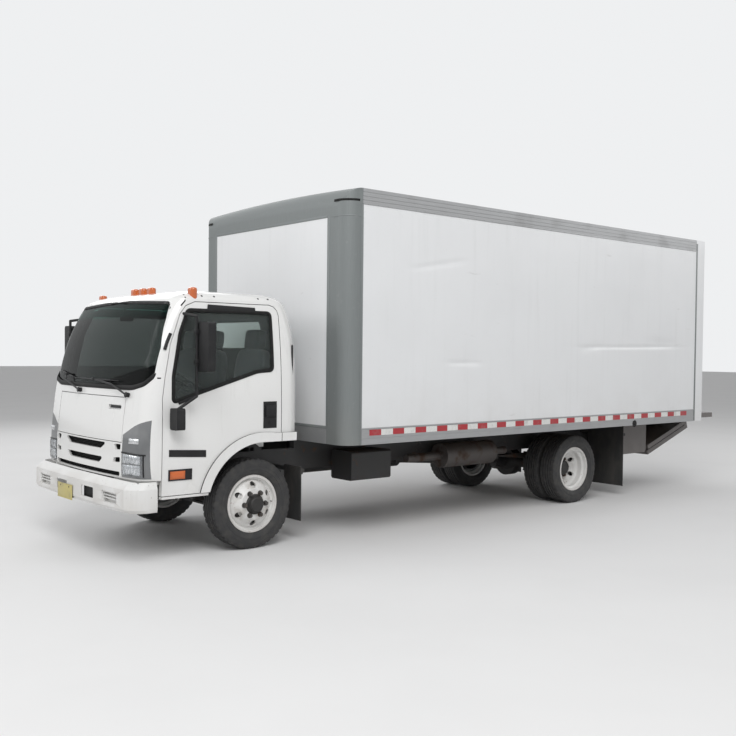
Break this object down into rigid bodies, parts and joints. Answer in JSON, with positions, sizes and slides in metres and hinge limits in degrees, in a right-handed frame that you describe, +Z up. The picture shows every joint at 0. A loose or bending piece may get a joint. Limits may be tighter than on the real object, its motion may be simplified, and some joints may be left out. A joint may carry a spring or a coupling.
{
  "type": "box truck",
  "caption": "Low-cab-forward box truck with a dry freight body, tilting cab, opening doors, steered front wheels, twin rear wheels and a tuck-under liftgate.",
  "frame": {"origin": "middle of the truck's length and width, on the ground the tyres stand on", "axes": "+Z up, the truck faces -Y, +X is its left (driver's) side"},
  "size_m": [2.6, 8.4468, 3.327],
  "materials": {
    "cab_paint": "gloss white paint",
    "glass": "tinted glass",
    "lamp_glass": "smoked lamp lens over reflectors",
    "amber_lens": "amber lens",
    "red_lens": "red lens",
    "black_plastic": "black moulded plastic",
    "dark_trim": "dark grey grained plastic",
    "seat_cloth": "dark seat cloth",
    "chassis_black": "satin black chassis paint",
    "spring_steel": "dull dark steel",
    "cast_metal": "cast metal",
    "exhaust_steel": "dull aluminised steel",
    "floor_wood": "laminated hardwood planks",
    "body_white": "white prepainted sheet",
    "body_roof": "white roof sheet",
    "body_grey": "satin grey aluminium",
    "mill_aluminium": "mill finish aluminium",
    "flap_rubber": "black rubber sheet",
    "gate_black": "black painted steel",
    "wheel_white": "white painted steel, dusty",
    "tyre": "black rubber"
  },
  "bodies": {
    "chassis": {"ladder_frame": "chassis_black", "front_axle": "chassis_black", "rear_axle": "chassis_black", "leaf_springs": "spring_steel", "propeller_shaft": "chassis_black", "engine": "cast_metal", "fuel_tank": "chassis_black", "battery_box": "chassis_black", "exhaust": "exhaust_steel", "load_floor": "floor_wood", "floor_sills": "chassis_black", "walls_side": "body_white", "wall_front": "body_white", "body_roof": "body_roof", "body_nose": "body_grey", "top_rails": "mill_aluminium", "bottom_rails": "mill_aluminium", "rear_frame": "body_white", "roll_up_door": "body_white", "body_lamps": "red_lens", "mud_flaps": "flap_rubber", "liftgate_mount": "gate_black", "front_bumper": "cab_paint"},
    "cab": {"cab_shell": "cab_paint", "cab_glass": "glass", "grille": "cab_paint", "headlamps": "lamp_glass", "roof_lamps": "amber_lens", "dashboard": "dark_trim", "steering_wheel": "dark_trim", "seats": "seat_cloth"},
    "front_lid": {"front_lid": "cab_paint"},
    "door_left": {"door_left": "cab_paint", "door_glass_left": "glass", "mirror_left": "black_plastic"},
    "door_right": {"door_right": "cab_paint", "door_glass_right": "glass", "mirror_right": "black_plastic"},
    "knuckle_left": {"knuckle_left": "chassis_black"},
    "knuckle_right": {"knuckle_right": "chassis_black"},
    "wheel_front_left": {"wheel_front_left": "wheel_white", "tyre_front_left": "tyre"},
    "wheel_front_right": {"wheel_front_right": "wheel_white", "tyre_front_right": "tyre"},
    "wheels_rear_left": {"wheels_rear_left": "wheel_white", "tyres_rear_left": "tyre"},
    "wheels_rear_right": {"wheels_rear_right": "wheel_white", "tyres_rear_right": "tyre"},
    "liftgate_arms": {"liftgate_arms": "gate_black"},
    "liftgate_platform": {"liftgate_platform": "gate_black"}
  },
  "joints": [
    {"name": "cab_tilt", "type": "hinge", "parent": "chassis", "child": "cab", "pos_m": [0, -3.9865, 0.78], "axis": [1, 0, 0], "range_deg": [0, 45]},
    {"name": "front_lid_hinge", "type": "hinge", "parent": "cab", "child": "front_lid", "pos_m": [0, -4.0945, 1.376], "axis": [-1, 0, 0], "range_deg": [0, 60]},
    {"name": "door_left_hinge", "type": "hinge", "parent": "cab", "child": "door_left", "pos_m": [1.036, -3.8845, 1.3], "axis": [0, 0, -1], "range_deg": [0, 70]},
    {"name": "door_right_hinge", "type": "hinge", "parent": "cab", "child": "door_right", "pos_m": [-1.036, -3.8845, 1.3], "axis": [0, 0, 1], "range_deg": [0, 70]},
    {"name": "steer_left", "type": "hinge", "parent": "chassis", "child": "knuckle_left", "pos_m": [0.74, -2.9465, 0.4055], "axis": [0, 0, 1], "range_deg": [-38, 38]},
    {"name": "steer_right", "type": "hinge", "parent": "chassis", "child": "knuckle_right", "pos_m": [-0.74, -2.9465, 0.4055], "axis": [0, 0, 1], "range_deg": [-38, 38]},
    {"name": "spin_front_left", "type": "hinge", "parent": "knuckle_left", "child": "wheel_front_left", "pos_m": [0.833, -2.9465, 0.4055], "axis": [1, 0, 0], "continuous": true},
    {"name": "spin_front_right", "type": "hinge", "parent": "knuckle_right", "child": "wheel_front_right", "pos_m": [-0.833, -2.9465, 0.4055], "axis": [1, 0, 0], "continuous": true},
    {"name": "spin_rear_left", "type": "hinge", "parent": "chassis", "child": "wheels_rear_left", "pos_m": [0.825, 1.5235, 0.4055], "axis": [1, 0, 0], "continuous": true},
    {"name": "spin_rear_right", "type": "hinge", "parent": "chassis", "child": "wheels_rear_right", "pos_m": [-0.825, 1.5235, 0.4055], "axis": [1, 0, 0], "continuous": true},
    {"name": "liftgate_lower", "type": "hinge", "parent": "chassis", "child": "liftgate_arms", "pos_m": [0, 2.7735, 0.7], "axis": [-1, 0, 0], "range_deg": [0, 28]},
    {"name": "liftgate_level", "type": "hinge", "parent": "liftgate_arms", "child": "liftgate_platform", "pos_m": [0, 3.6135, 0.85], "axis": [1, 0, 0], "range_deg": [0, 28]}
  ],
  "couplings": [
    {"joint": "steer_right", "follows": "steer_left", "ratio": 1},
    {"joint": "liftgate_level", "follows": "liftgate_lower", "ratio": 1}
  ]
}
